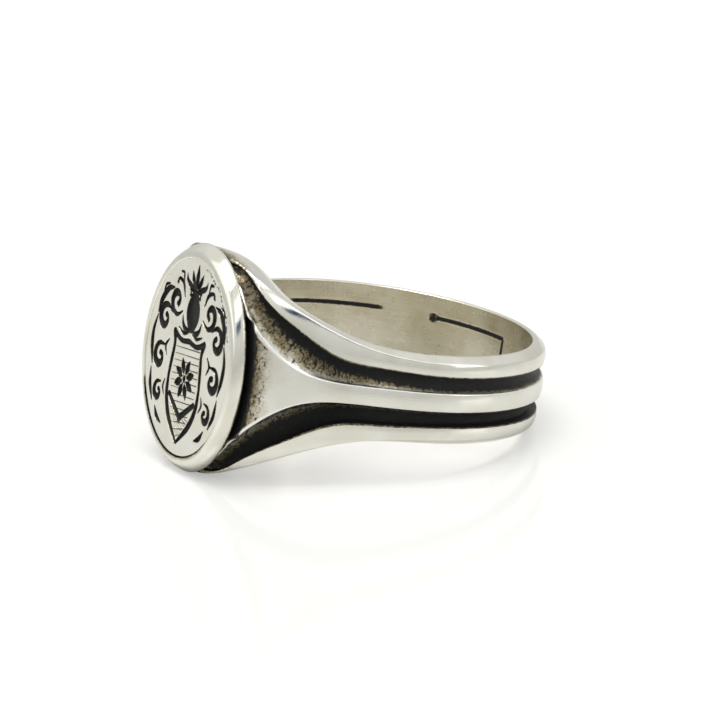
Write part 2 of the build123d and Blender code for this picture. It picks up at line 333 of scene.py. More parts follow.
def rail(name, side):
    """An outer rail: side 1 is the upper one, -1 the lower."""
    angle = from_seal(FULL_TURN)
    floor_r, floor_z = groove_corner(angle)
    edge_z = groove_edge(angle)
    edge_r = surface(angle, edge_z) - 0.03
    crest_r, crest_z = rail_top(angle, 1.0)
    seam, lip = seam_height(angle) + SOLDER / 2, lip_height(angle)
    low_z = floor_z + SOLDER / 2
    corners, recess, bore = [], [], []

    def add(r, z, rounding, deep, inner=0.0):
        corners.append((r, z, rounding))
        for _ in range(5 if rounding else 1):
            recess.append(deep + 0 * angle)
            bore.append(inner + 0 * angle)

    add(BORE + 0 * seam, seam, 0, seam_black(FULL_TURN), 1.0)
    groove_black = 1 - 0.72 * fall(angle, 12.5, 2)
    for share in np.linspace(0.1, 1, 8):
        add(BORE + share * (floor_r - BORE), seam + share * (low_z - seam), 0, groove_black)
    for share in (0.25, 0.5, 0.7, 0.85):
        add(floor_r + share * (edge_r - floor_r), low_z + share * (edge_z - low_z), 0, groove_black)
    add(edge_r, edge_z, 0.06, 0.5 * groove_black)
    for share in (0.12, 0.25, 0.4, 0.55, 0.7, 0.82):
        swell = 0.06 * np.sin(np.pi * share)
        add(edge_r + share * (crest_r - edge_r) + swell, edge_z + share * (crest_z - edge_z), 0, 0.0)
    add(crest_r, crest_z, 0.3, 0.0)
    for share in (0.9, 0.82, 0.74, 0.66, 0.58, 0.5, 0.42, 0.34, 0.26, 0.18, 0.1):
        r, z = rail_top(angle, share)
        add(r, z, 0, 0.0)
    add(BORE + 0 * lip, lip, 0.1, 0.0, 0.5)
    for share in np.linspace(0.06, 0.9, 9):
        spot = seam_blob(FULL_TURN) if share > 0.85 and side > 0 else 0.0
        add(BORE + 0 * lip, lip + share * (seam - lip), 0, 0.9 * spot, 1.0)
    add(BORE + 0 * lip, lip + 0.955 * (seam - lip), 0, 0.85 * seam_black(FULL_TURN), 1.0)

    profile = neck_trim(rounded(corners), FULL_TURN)
    recess, bore = np.stack(recess, 1), np.stack(bore, 1)
    behind = NECK_Y - profile[..., 0] * np.cos(np.radians(FULL_TURN))[:, None]
    near = np.interp(behind, (0.0, 0.1, 0.5, 1.2), (0.5, 0.4, 0.26, 0.0))
    masks = {"recess": np.maximum(recess, near * (bore == 0)), "bore": bore}
    profile[..., 1] *= side
    piece = swept(name, FULL_TURN, profile, masks, closed=True, flip=side > 0)
    keep_out_of_hollow(piece, 2)
    return piece


def centre_profile(angles, gap=0.0):
    """The centre rail or field with its groove floors, the masks for its blackening, and the mask for its
    rubbed ridges, which also carries their painted highlight.
    """
    angle = from_seal(angles)
    floor_r, floor_z = groove_corner(angle)
    field_z = np.minimum(field_height(angle), floor_z - 0.25)
    field_r = surface(angle, field_z)
    crown = 0.9 * BAND_CROWN - 0.14 * bump(angle - 26, 12)
    seam = seam_height(angle) - SOLDER / 2
    low_z = floor_z - SOLDER / 2
    slack = surface(angle, 0) + crown
    shoulder = fall(angle, 58, 7)
    head_tan = 0.6 * fall(angle, 21, 4)
    edge_round = (0.07 + 0.2 * bump(angle - 42, 11))[:, None]
    corners, recess, bore, ridge_wear_and_highlight = [], [], [], []

    def add(r, z, rounding, deep, inner=0.0, worn=0.0):
        corners.append((r, z, rounding))
        for _ in range(5 if np.any(rounding) else 1):
            recess.append(deep + 0 * angle)
            bore.append(inner + 0 * angle)
            ridge_wear_and_highlight.append(worn + 0 * angle)

    def flank(side):
        shares = np.linspace(0.0, 0.94, 14)
        black_reach = 0.84 - (0.34 if side > 0 else 0.1) * shoulder - 0.3 * fall(angle, 13, 3)
        for run in shares if side > 0 else shares[::-1]:
            rise = run**3 * 0.8 + run * 0.2
            black = np.clip((black_reach - run) / 0.34 + 0.5, 0, 1)
            brown = np.interp(run, (0.0, 0.55, 0.8, 0.93, 1.0), (0.5, 0.5, 0.38, 0.16, 0.1))
            deep = np.maximum(black * (1 - 0.62 * fall(angle, 12.5, 2)), brown)
            deep = np.maximum(deep, head_tan * np.clip((1.1 - run) / 0.5, 0, 1))
            add(floor_r + rise * (field_r - floor_r), side * (low_z + run * (field_z - low_z)), 0, deep)

    open_seam = seam_black(angles)
    back_line = 1 - smooth_step(180 - angle, 0.3, 1.1)
    add(BORE + 0 * seam, -seam, 0, open_seam, 1.0)
    add(BORE + 0 * seam, -0.95 * seam, 0, 0.85 * open_seam, 1.0)
    for share in np.linspace(-0.89, 0.89, 10):
        spot = seam_blob(angles) if share > 0.85 else 0.0
        deep = 0.9 * np.maximum(spot, back_line * smooth_step(share, 0.0, 0.3))
        add(BORE + 0 * seam, share * seam, 0, deep, 1.0)
    add(BORE + 0 * seam, 0.95 * seam, 0, np.maximum(0.85 * open_seam, back_line), 1.0)
    add(BORE + 0 * seam, seam, 0, np.maximum(open_seam, back_line), 1.0)
    for share in np.linspace(0.1, 0.85, 5):
        add(BORE + share * (floor_r - BORE), seam + share * (low_z - seam), 0, 1.0)
    flank(1)
    # The rounded top edge of the field is marked rubbed clean of patina, and the same mark paints a highlight
    # on it, lifting its colour towards white.
    add(field_r, field_z, edge_round, 0.0, worn=1.0)
    for share in np.linspace(0.92, -0.92, 23):
        add(field_r + (slack - field_r) * (1 - share**2), share * field_z, 0, 0.0)
    # Painted highlight and rubbed edge here too, on the lower edge of the field.
    add(field_r, -field_z, edge_round, 0.0, worn=1.0)
    flank(-1)
    for share in np.linspace(0.85, 0.1, 5):
        add(BORE + share * (floor_r - BORE), -seam - share * (low_z - seam), 0, 1.0)

    profile = neck_trim(rounded(corners), angles, gap)
    behind = NECK_Y - gap - profile[..., 0] * np.cos(np.radians(angles))[:, None]
    near = np.interp(behind, (0.0, 0.05, 0.16, 0.6, 1.25), (1.0, 0.6, 0.36, 0.24, 0.0))
    level = np.interp(profile[..., 1], (-4.0, -3.5, 3.5, 4.0), (0.42, 1.0, 1.0, 0.42))
    bore, ridge_wear_and_highlight = np.stack(bore, 1), np.stack(ridge_wear_and_highlight, 1)
    recess = np.maximum(np.stack(recess, 1), near * level * (bore == 0) * (1 - 0.9 * ridge_wear_and_highlight))
    return profile, {"recess": recess, "bore": bore, "ridge_wear_and_highlight": ridge_wear_and_highlight}


def centre_band(name, side):
    """One half of the centre band: side 1 is towards +X."""
    angles = np.arange(HEAD_BACK_ANGLE, 180 - BACK_ANGLE, 0.5)
    angles = np.append(angles, 180 - BACK_ANGLE) * side
    profile, masks = centre_profile(angles, FIELD_GAP)
    piece = swept(name, angles, profile, masks, flip=side > 0)
    keep_out_of_hollow(piece, 0)
    return piece


def head_back():
    angles = np.linspace(-HEAD_BACK_ANGLE, HEAD_BACK_ANGLE, 41)
    profile, masks = centre_profile(angles)
    profile[..., 0] = np.minimum(profile[..., 0], HOLLOW_FLOOR)
    return swept("head_back_silver", angles, profile, masks, flip=True)


def back_joint():
    angles = np.linspace(180 - BACK_ANGLE, 180 + BACK_ANGLE, 3)
    profile, masks = centre_profile(angles)
    return swept("back_joint_strip", angles, profile, masks, flip=True)


def joint_solder(name, side):
    angle = from_seal(FULL_TURN)
    floor_r, floor_z = groove_corner(angle)
    outer = np.where(angle < 22, np.minimum(floor_r, HOLLOW_FLOOR), floor_r) - 0.04
    seam = seam_height(angle)
    slope = (floor_z - seam) / (floor_r - BORE)
    corners = []
    for r, offset in ((BORE, -1), (outer, -1), (outer, 1), (BORE, 1)):
        z = seam + slope * (r - BORE) + offset * SOLDER / 2
        corners.append((r + 0 * seam, z, 0))
    profile = rounded(corners)
    profile[..., 1] *= side
    opened = seam_black(FULL_TURN)
    full = 1 + 0 * angle
    masks = {
        "recess": np.stack([opened, full, full, opened], 1),
        "bore": np.stack([full, 0 * full, 0 * full, full], 1),
    }
    return swept(name, FULL_TURN, profile, masks, closed=True, flip=side > 0)


# Head ---------------------------------------------------------------------------------------


def arc(a, b, y, radius, start, end, steps):
    """Points on a rounding of the oval (a, b) about the distance y. 0 points outwards, 90 forwards."""
    turns = np.radians(np.linspace(start, end, steps))
    return [(a + radius * math.cos(t), b + radius * math.cos(t), y + radius * math.sin(t)) for t in turns]


def collar():
    """The rim: a slightly domed front band, a soft crease and a side that turns in at the back."""
    side = [(0.06, 0.0), (0.02, 0.02), (0.0, 0.07), (0.0, 0.2)]
    side += [(0.0, 0.35), (0.02, 0.5), (0.055, 0.63), (0.09, 0.73)]
    front = [(0.12, 0.79), (0.15, 0.83), (0.19, 0.86), (0.26, 0.885)]
    front += [(0.34, 0.905), (0.42, 0.918), (0.5, 0.925)]
    profile = []
    for inwards, forwards in side + front:
        y = NECK_Y + forwards / 0.925 * (COLLAR_FRONT_Y - NECK_Y)
        share = forwards / 0.925
        profile.append((COLLAR_A - 0.05 * share - inwards, COLLAR_B - 0.4 * share - inwards, y))
    steps = 384
    low = joint_stain(steps)[:, None]
    rim = len(profile)
    for a, b, y in arc(RING_A + 0.06, RING_B + 0.06, COLLAR_FRONT_Y - 0.06, 0.06, 90, 180, 5):
        profile.append((a + 0.05 * low, b + 0.05 * low, y - 0.09 * low))
    profile += [(RING_A, RING_B, y) for y in np.linspace(COLLAR_FRONT_Y - 0.2, NECK_Y, 8)]
    recess = np.zeros((steps, len(profile)))
    turn = np.degrees(np.linspace(0, 2 * np.pi, steps, endpoint=False))[:, None]
    beside = 0.28 + 0.52 * smooth_step(abs(np.cos(np.radians(turn))), 0.5, 0.8)
    recess[:, :2] = beside
    recess[:, 2:3] = 0.5 * beside
    recess[:, rim - 3:rim] = low * (0.12, 0.24, 0.4)
    recess[:, rim:] = low * 0.95
    return oval_swept("collar_silver", profile, steps, masks={"recess": recess})


def bearing_ring():
    a, b = PLATE_A - BEARING_WIDTH, PLATE_B - BEARING_WIDTH
    profile = [(RING_A, RING_B, NECK_Y), (RING_A, RING_B, PLATE_BACK_Y), (a, b, PLATE_BACK_Y), (a, b, NECK_Y)]
    return oval_swept("bearing_ring_silver", profile)


def joint_stain(steps):
    """How open and stained the joint round the plate is: only along the lower left."""
    turn = np.degrees(np.linspace(0, 2 * np.pi, steps, endpoint=False))
    return smooth_step(turn, 196, 216) * (1 - smooth_step(turn, 298, 322))


def bezel_joint():
    """The joint round the plate, sunk where it is open and worn level with the face elsewhere."""
    steps = 288
    turn = np.degrees(np.linspace(0, 2 * np.pi, steps, endpoint=False))
    dotted = smooth_step(turn, 5, 25) * (1 - smooth_step(turn, 62, 72))
    opened = np.maximum(joint_stain(steps), 0.75 * dotted)[:, None]
    front = FACE_Y - 0.01 - 0.11 * opened
    profile = [(RING_A, RING_B, PLATE_BACK_Y), (RING_A, RING_B, front), (PLATE_A, PLATE_B, front)]
    profile.append((PLATE_A, PLATE_B, PLATE_BACK_Y))
    return oval_swept("bezel_joint_strip", profile, steps, {"recess": np.tile(0.9 * opened, (1, 4))})


def head_wall():
    """The oval tube behind the collar. Its back edge follows the floor round the bore."""
    steps = 192
    turn = np.linspace(0, 2 * np.pi, steps, endpoint=False)
    loops = []
    for a, b, at_front in (
        (WALL_A, WALL_B, False),
        (WALL_A, WALL_B, True),
        (WALL_A - WALL_THICKNESS, WALL_B - WALL_THICKNESS, True),
        (WALL_A - WALL_THICKNESS, WALL_B - WALL_THICKNESS, False),
    ):
        x, z = a * np.cos(turn), b * np.sin(turn)
        y = -NECK_Y + 0 * x if at_front else -np.sqrt(HOLLOW_FLOOR**2 - x**2)
        loops.append(np.stack([x, y, z], -1))
    vertices = np.stack(loops, 1).reshape(-1, 3)
    masks = {"recess": np.ones(len(vertices))}
    return make_piece("head_wall_silver", vertices, grid_faces(steps, 4, True, True), masks)


# Engraving: a generic ornament of the builder's own, a leaf spray over a bud, a shield with a
# rosette and scrollwork on both sides. Strokes are (points, widths) in millimetres on the plate,
# x to the right and z up as the seal is looked at; both lists are blended smoothly along the stroke.

ENGRAVING_DEPTH = 0.17
ENGRAVING_WALL = 0.09
ORNAMENT_STRETCH = 1.16
ORNAMENT_BOLDNESS = 0.035
ORNAMENT_DROP = 0.3
STROKE_STEPS = 36


def spiral(centre, radii, turns, widths):
    """A stroke that winds about a centre while its radius goes from the first to the second."""
    shares = np.linspace(0, 1, 9)
    angles = np.radians(turns[0] + (turns[1] - turns[0]) * shares)
    radius = radii[0] + (radii[1] - radii[0]) * shares**0.8
    points = [(centre[0] + r * math.cos(a), centre[1] + r * math.sin(a)) for r, a in zip(radius, angles)]
    return points, widths


def half_strokes():
    """The strokes on the right of the centre line. The left is their mirror image."""
    return [
        # leaf spray and its base
        ([(0.1, 3.98), (0.42, 4.32), (0.62, 4.78)], (0.06, 0.3, 0.03)),
        ([(0.2, 3.9), (0.72, 4.02), (1.1, 4.2), (1.22, 4.52)], (0.08, 0.26, 0.2, 0.02)),
        ([(0.0, 3.8), (0.66, 3.78)], (0.13, 0.1)),
        ([(0.0, 3.52), (0.6, 3.5)], (0.13, 0.1)),
        ([(0.3, 3.8), (0.3, 3.52)], (0.13, 0.13)),
        ([(0.58, 3.78), (0.56, 3.52)], (0.1, 0.1)),
        # sepals under the bud
        ([(0.05, 1.72), (0.5, 1.6), (0.95, 1.86), (1.12, 2.3)], (0.08, 0.3, 0.2, 0.02)),
        ([(0.3, 1.5), (0.8, 1.42), (1.4, 1.62)], (0.04, 0.13, 0.02)),
        # shield edge
        ([(0.0, 1.12), (0.9, 1.02), (1.75, 1.3)], (0.24, 0.22, 0.3)),
        ([(1.75, 1.3), (1.6, 0.7), (1.72, -0.2), (1.84, -1.1)], (0.36, 0.24, 0.26, 0.22)),
        ([(1.84, -1.1), (1.76, -2.1), (1.2, -3.2), (0.0, -4.35)], (0.22, 0.3, 0.34, 0.12)),
        # top scroll, its leaf and its tendril
        spiral((1.98, 2.92), (0.86, 0.2), (-150, 230), (0.04, 0.3, 0.4, 0.26, 0.3)),
        ([(1.2, 3.3), (1.5, 3.9), (2.05, 4.1), (2.2, 3.86)], (0.05, 0.2, 0.12, 0.16)),
        ([(1.5, 4.05), (1.62, 4.45), (1.95, 4.5)], (0.04, 0.14, 0.05)),
        # second scroll
        spiral((3.1, 1.75), (0.86, 0.2), (150, -240), (0.06, 0.36, 0.44, 0.24, 0.28)),
        ([(2.5, 3.5), (3.15, 3.3), (3.75, 2.6), (3.98, 1.9)], (0.04, 0.3, 0.34, 0.1)),
        ([(3.1, 3.6), (3.5, 3.45), (3.62, 3.1)], (0.03, 0.12, 0.1)),
        # third scroll
        spiral((3.16, -0.35), (0.82, 0.18), (120, -260), (0.06, 0.34, 0.42, 0.24, 0.28)),
        ([(4.0, 1.7), (4.28, 0.8), (4.2, -0.1), (3.95, -0.9)], (0.05, 0.26, 0.3, 0.05)),
        ([(2.3, 0.75), (2.62, 0.35), (2.42, -0.1)], (0.03, 0.16, 0.03)),
        # last scroll and the leaf tip
        spiral((2.86, -2.2), (0.62, 0.14), (110, -250), (0.05, 0.28, 0.34, 0.2, 0.22)),
        ([(4.0, -1.15), (3.86, -2.0), (3.42, -2.8)], (0.04, 0.28, 0.05)),
        ([(2.95, -3.05), (2.6, -3.5), (2.05, -3.75)], (0.04, 0.26, 0.03)),
        ([(2.2, -1.4), (2.34, -1.8), (2.12, -2.2)], (0.03, 0.13, 0.03)),
    ]


def centre_strokes():
    """The strokes on the centre line, the chevron and the rosette's petals."""
    strokes = [
        ([(0.0, 3.95), (0.0, 4.55), (0.0, 5.2)], (0.1, 0.36, 0.02)),
        ([(0.0, 3.25), (0.0, 2.65), (0.0, 2.0)], (0.9, 1.46, 0.8)),
        ([(0.0, -0.9), (0.0, -0.9001)], (0.3, 0.3)),
        ([(-1.45, -2.0), (0.0, -3.0)], (0.26, 0.34)),
        ([(1.45, -2.0), (0.0, -3.0)], (0.26, 0.34)),
    ]
    for petal in range(8):
        turn = math.radians(22.5 + 45 * petal)
        way = np.array([math.cos(turn), math.sin(turn)])
        middle = np.array([0.0, -0.9])
        points = [tuple(middle + way * reach) for reach in (0.3, 0.68, 1.1)]
        strokes.append((points, (0.06, 0.4, 0.05)))
    return strokes


def hatching():
    """Fine parallel lines over the shield's field, shorter than the room between its edges."""
    lines = []
    for step in range(15):
        level = 0.72 - 0.36 * step
        reach = np.interp(level, (-4.0, -3.2, -2.0, -1.0, 1.0), (0.25, 0.85, 1.36, 1.5, 1.36))
        lines.append(([(-reach, level - 0.12), (reach, level + 0.12)], (0.028, 0.05)))
    for step in range(8):
        level = -2.75 - 0.17 * step
        reach = np.interp(level, (-4.1, -3.2, -2.6), (0.15, 0.8, 1.1))
        lines.append(([(-reach, level + 0.25), (reach, level - 0.25)], (0.03, 0.045)))
    return lines


def blend_along(values, count):
    """Catmull-Rom samples through a short list of points or widths."""
    values = np.atleast_2d(np.asarray(values, dtype=float).T).T
    padded = np.concatenate([2 * values[:1] - values[1:2], values, 2 * values[-1:] - values[-2:-1]])
    place = np.linspace(0, len(values) - 1, count)
    start = np.minimum(place.astype(int), len(values) - 2)
    t = (place - start)[:, None]
    a, b, c, d = (padded[start + offset] for offset in range(4))
    return 0.5 * (2 * b + (c - a) * t + (2 * a - 5 * b + 4 * c - d) * t**2 + (3 * b - a - 3 * c + d) * t**3)


def inside_depth(x, z, strokes):
    """How far each plate point lies inside the nearest stroke's edge, negative outside them all."""
    best = np.full(x.shape, -1.0)
    for points, widths in strokes:
        path = blend_along(points, STROKE_STEPS)
        half = np.maximum(blend_along(widths, STROKE_STEPS)[:, 0], 0.01) / 2
        low, high = path.min(0) - half.max() - 0.12, path.max(0) + half.max() + 0.12
        near = (x > low[0]) & (x < high[0]) & (z > low[1]) & (z < high[1])
        here = np.stack([x[near], z[near]], -1)
        closest = np.full(len(here), -1.0)
        for start, end, r0, r1 in zip(path[:-1], path[1:], half[:-1], half[1:]):
            way = end - start
            share = np.clip(((here - start) @ way) / max(way @ way, 1e-12), 0, 1)
            gap = np.linalg.norm(here - start - share[:, None] * way, axis=1)
            closest = np.maximum(closest, r0 + share * (r1 - r0) - gap)
        best[near] = np.maximum(best[near], closest)
    return best


def engrave(x, z):
    """Depth of the engraving and its blackening at each plate point."""
    z = (z + ORNAMENT_DROP) / ORNAMENT_STRETCH
    right = half_strokes()
    left = [([(-u, v) for u, v in points], widths) for points, widths in right]
    inside = inside_depth(x, z, right + left + centre_strokes()) + ORNAMENT_BOLDNESS
    fine = inside_depth(x, z, hatching())
    depth = ENGRAVING_DEPTH * smooth_step(inside, -0.01, ENGRAVING_WALL)
    depth = np.maximum(depth, 0.05 * smooth_step(fine, -0.01, 0.02))
    black = np.maximum(smooth_step(inside, -0.015, 0.03), 0.75 * smooth_step(fine, -0.015, 0.02))
    return depth, black


def rim_pits(x, z):
    """A broken line of pits just inside the plate's edge on its upper right."""
    reach = np.hypot(x / PLATE_A, z / PLATE_B)
    turn = np.degrees(np.arctan2(z / PLATE_B, x / PLATE_A))
    inwards = (1 - reach) * PLATE_A
    wander = 0.22 + 0.05 * np.sin(turn * 0.31) + 0.03 * np.sin(turn * 1.7)
    line = 1 - smooth_step(abs(inwards - wander), 0.02, 0.07)
    broken = smooth_step(np.sin(turn * 2.1) + np.sin(turn * 4.7 + 1) + np.sin(turn * 0.9), -0.3, 0.5)
    return line * broken * smooth_step(turn, 14, 24) * (1 - smooth_step(turn, 70, 86))


def seal_plate():
    """The oval plate. Its front is a fine grid squeezed from a square into the oval."""
    count = 401
    line = np.linspace(-1, 1, count)
    across, up = np.meshgrid(line, line, indexing="ij")
    x = PLATE_A * across * np.sqrt(1 - up**2 / 2)
    z = PLATE_B * up * np.sqrt(1 - across**2 / 2)
    depth, black = engrave(x, z)
    black = np.maximum(black, rim_pits(x, z))
    front = np.stack([x, depth - FACE_Y, z], -1).reshape(-1, 3)
    faces = grid_faces(count, count, False, False)
    index = np.arange(count * count).reshape(count, count)
    rim = np.concatenate([index[:-1, 0], index[-1, :-1], index[:0:-1, -1], index[0, :0:-1]])
    back = front[rim] + np.array([0, FACE_Y - PLATE_BACK_Y, 0])
    start = len(front)
    total = len(rim)
    for step in range(total):
        after = (step + 1) % total
        faces.append([int(rim[after]), int(rim[step]), start + step, start + after])
    faces.append([start + step for step in range(total)])
    masks = {"recess": np.append(black.ravel(), np.ones(total))}
    return make_piece("seal_plate_engraved", np.concatenate([front, back]), faces, masks, sharp=80)


pieces = {
    "upper_rail": rail("upper_rail_silver", 1),
    "lower_rail": rail("lower_rail_silver", -1),
    "centre_band_right": centre_band("centre_band_right_silver", 1),
    "centre_band_left": centre_band("centre_band_left_silver", -1),
    "head_back": head_back(),
    "back_joint_solder": back_joint(),
    "upper_joint_solder": joint_solder("upper_joint_strip", 1),
    "lower_joint_solder": joint_solder("lower_joint_strip", -1),
    "bezel_collar": collar(),
    "bearing_ring": bearing_ring(),
    "bezel_joint_solder": bezel_joint(),
    "head_wall": head_wall(),
    "seal_plate": seal_plate(),
}
for node_name, piece in pieces.items():
    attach(piece, "root")
    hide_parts(node_name)

# Camera -------------------------------------------------------------------------------------

CAMERA_AZIMUTH = math.radians(55.75)
CAMERA_ELEVATION = math.radians(12.53)
CAMERA_ROLL = math.radians(8.62)
CAMERA_DISTANCE = 242.9
CAMERA_SHIFT = (-0.95, -0.10)
CAMERA_LENS = 194.8
CAMERA_FSTOP = 160.0


def add_camera():
    """The photograph's viewpoint: azimuth and elevation about the bore's axis, then a roll."""
    back = Vector((
        math.sin(CAMERA_AZIMUTH) * math.cos(CAMERA_ELEVATION),
        -math.cos(CAMERA_AZIMUTH) * math.cos(CAMERA_ELEVATION),
        math.sin(CAMERA_ELEVATION),
    ))
    level = Vector((math.cos(CAMERA_AZIMUTH), math.sin(CAMERA_AZIMUTH), 0))
    right = level * math.cos(CAMERA_ROLL) + back.cross(level) * math.sin(CAMERA_ROLL)
    up = back.cross(right)
    place = back * CAMERA_DISTANCE + right * CAMERA_SHIFT[0] + up * CAMERA_SHIFT[1]
    data = bpy.data.cameras.new("camera")
    data.lens = CAMERA_LENS
    data.sensor_width = 36
    data.clip_start, data.clip_end = 0.01, 10
    data.dof.use_dof = True
    data.dof.focus_object = pieces["seal_plate"]
    data.dof.aperture_fstop = CAMERA_FSTOP
    camera = bpy.data.objects.new("camera", data)
    bpy.context.scene.collection.objects.link(camera)
    turn = Matrix((right, up, back)).transposed().to_4x4()
    camera.matrix_world = Matrix.Translation(place * MM) @ turn
    bpy.context.scene.camera = camera


add_camera()

# Materials ----------------------------------------------------------------------------------


class Graph:
    """A short way to write a shader's nodes."""

    def __init__(self, tree):
        self.tree = tree
        tree.nodes.clear()

    def add(self, kind, inputs=None, **settings):
        """Adds a node. inputs maps a socket's name or number to a value or to another socket."""
        node = self.tree.nodes.new("ShaderNode" + kind)
        for key, value in settings.items():
            setattr(node, key, value)
        for key, value in (inputs or {}).items():
            if isinstance(value, bpy.types.NodeSocket):
                self.tree.links.new(value, node.inputs[key])
            else:
                node.inputs[key].default_value = value
        return node

    def math(self, operation, *values, clamp=False):
        node = self.add("Math", dict(enumerate(values)), operation=operation, use_clamp=clamp)
        return node.outputs[0]

    def ramp(self, value, low, high, out_low=0.0, out_high=1.0):
        """A smooth step from out_low at low to out_high at high."""
        inputs = {"Value": value, "From Min": low, "From Max": high, "To Min": out_low, "To Max": out_high}
        return self.add("MapRange", inputs, interpolation_type="SMOOTHSTEP").outputs[0]

    def mix(self, factor, first, second):
        node = self.add("Mix", {0: factor, 6: first, 7: second}, data_type="RGBA")
        return node.outputs[2]

    def noise(self, place, scale, detail=3.0, roughness=0.55):
        inputs = {"Vector": place, "Scale": scale, "Detail": detail, "Roughness": roughness}
        return self.add("TexNoise", inputs).outputs[0]

    def mask(self, name):
        return self.add("Attribute", attribute_name=name).outputs["Fac"]


SILVER = (0.86, 0.858, 0.80, 1)
WARM_SILVER = (0.74, 0.725, 0.635, 1)
TAN = (0.20, 0.155, 0.08, 1)
PALE_TAN = (0.50, 0.45, 0.31, 1)
BORE_TINT = (0.78, 0.75, 0.64, 1)
BORE_SHADE = (0.63, 0.575, 0.44, 1)
BLACK = (0.008, 0.009, 0.009, 1)
# Painted glint: the lighter grey laid into the black along its lengthwise lines.
PAINTED_GLINT_GREY = (0.09, 0.088, 0.08, 1)


def new_material(name):
    material = bpy.data.materials.new(name)
    material.use_nodes = True
    return material, Graph(material.node_tree)


def silver_places(g):
    """Millimetre coordinates: as they are, and unrolled round the bore (arc, height, radius)."""
    place = g.add("TexCoord").outputs["Object"]
    mm = g.add("VectorMath", {0: place, 3: 1 / MM}, operation="SCALE").outputs[0]
    x, y, z = g.add("SeparateXYZ", {0: mm}).outputs
    turn = g.math("ARCTAN2", x, g.math("MULTIPLY", y, -1.0))
    reach = g.math("SQRT", g.math("ADD", g.math("MULTIPLY", x, x), g.math("MULTIPLY", y, y)))
    arc = g.math("MULTIPLY", turn, BORE)
    unrolled = g.add("CombineXYZ", {0: arc, 1: z, 2: reach}).outputs[0]
    return mm, unrolled


def stretched(g, vector, along, across, deep=1.0):
    return g.add("VectorMath", {0: vector, 1: (along, across, deep)}, operation="MULTIPLY").outputs[0]


def scattered_pits(g, mm, scale, share, size):
    """Small round pits: one in some of the cells of a cellular pattern."""
    cells = g.add("TexVoronoi", {"Vector": mm, "Scale": scale, "Randomness": 1.0})
    lot = g.add("SeparateColor", {0: cells.outputs["Color"]}).outputs[0]
    chosen = g.math("GREATER_THAN", lot, 1 - share)
    return g.math("MULTIPLY", chosen, g.ramp(cells.outputs["Distance"], size * 0.5, size, 1.0, 0.0))


